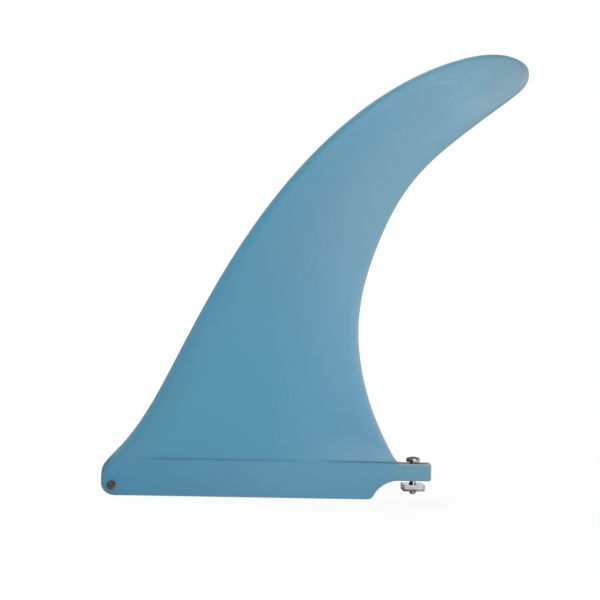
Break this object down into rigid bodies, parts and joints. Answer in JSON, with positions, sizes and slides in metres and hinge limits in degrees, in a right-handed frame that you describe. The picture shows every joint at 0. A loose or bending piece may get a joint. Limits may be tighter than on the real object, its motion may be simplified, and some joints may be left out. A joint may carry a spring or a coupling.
{
  "type": "surfboard fin",
  "caption": "Raked single surfboard fin with an integral base tab for a long fin box, a cross pin through the tab's front, and a screw with a square plate nut at its rear.",
  "frame": {"origin": "centre of the cross pin, in the fin's mid plane", "axes": "+X towards the back of the board, +Z from the tab to the fin's tip, Y across the fin's thickness and along the cross pin"},
  "size_m": [0.2481, 0.016, 0.263],
  "materials": {
    "fin_laminate": "light blue glass-fibre laminate, satin",
    "pin_brass": "dull brown tarnish",
    "screw_steel": "stainless, turned",
    "plate_steel": "stainless, faintly brushed"
  },
  "bodies": {
    "root": {"fin": "fin_laminate", "cross_pin": "pin_brass", "fixing_screw": "screw_steel", "plate_nut": "plate_steel"}
  },
  "joints": []
}
